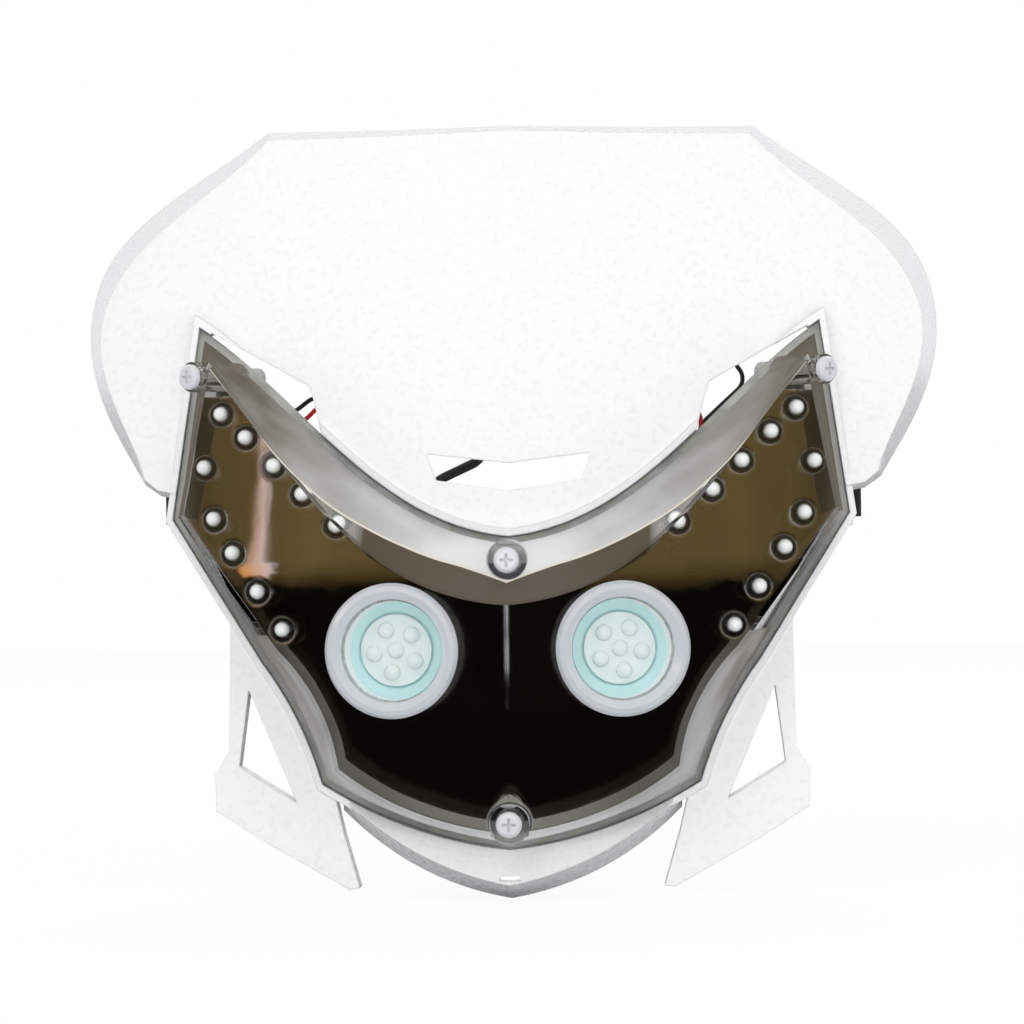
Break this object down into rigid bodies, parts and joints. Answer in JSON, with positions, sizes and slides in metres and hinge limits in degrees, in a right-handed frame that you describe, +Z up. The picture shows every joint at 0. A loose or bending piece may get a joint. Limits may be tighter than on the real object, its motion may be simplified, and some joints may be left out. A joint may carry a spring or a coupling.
{
  "type": "dirt bike LED headlight",
  "caption": "White dirt bike headlight mask with a clear V-shaped LED lamp unit and rubber fork straps.",
  "frame": {"origin": "midway between the two fork tubes, at the height of the rubber straps' middle", "axes": "+Z up, -Y forwards out of the lens, +X to the right in the front view"},
  "size_m": [0.2912, 0.1515, 0.2581],
  "materials": {
    "white_plastic": "glossy",
    "clear_plastic": "clear",
    "chromed_plastic": "mirror",
    "grey_plastic": "satin",
    "black_plastic": "matte",
    "black_rubber": "matte",
    "white_silicone": "matte",
    "clear_glass": "clear",
    "circuit_board": "satin",
    "led_resin": "glossy",
    "steel": "bright",
    "brass": "bright",
    "red_wire": "satin"
  },
  "bodies": {
    "root": {"bottom_screw": "steel", "cable_connector": "black_plastic", "cable_grommet": "black_rubber", "connector_blades": "brass", "front_mask": "white_plastic", "lamp_housing": "grey_plastic", "left_black_wire": "black_rubber", "left_cluster_board": "circuit_board", "left_cluster_leds": "led_resin", "left_fork_strap": "black_rubber", "left_horn_screw": "steel", "left_lamp_cup": "chromed_plastic", "left_lamp_glass": "clear_glass", "left_lamp_socket": "black_plastic", "left_lower_housing_screw": "steel", "left_red_wire": "red_wire", "left_side_leds": "led_resin", "left_side_strip": "circuit_board", "left_trim_ring": "chromed_plastic", "left_upper_housing_screw": "steel", "left_upper_leds": "led_resin", "left_upper_strip": "circuit_board", "lens_cover": "clear_plastic", "lens_seal": "white_silicone", "main_cable": "black_rubber", "reflector": "chromed_plastic", "right_black_wire": "black_rubber", "right_cluster_board": "circuit_board", "right_cluster_leds": "led_resin", "right_fork_strap": "black_rubber", "right_horn_screw": "steel", "right_lamp_cup": "chromed_plastic", "right_lamp_glass": "clear_glass", "right_lamp_socket": "black_plastic", "right_lower_housing_screw": "steel", "right_red_wire": "red_wire", "right_side_leds": "led_resin", "right_side_strip": "circuit_board", "right_trim_ring": "chromed_plastic", "right_upper_housing_screw": "steel", "right_upper_leds": "led_resin", "right_upper_strip": "circuit_board", "top_screw": "steel"}
  },
  "joints": []
}
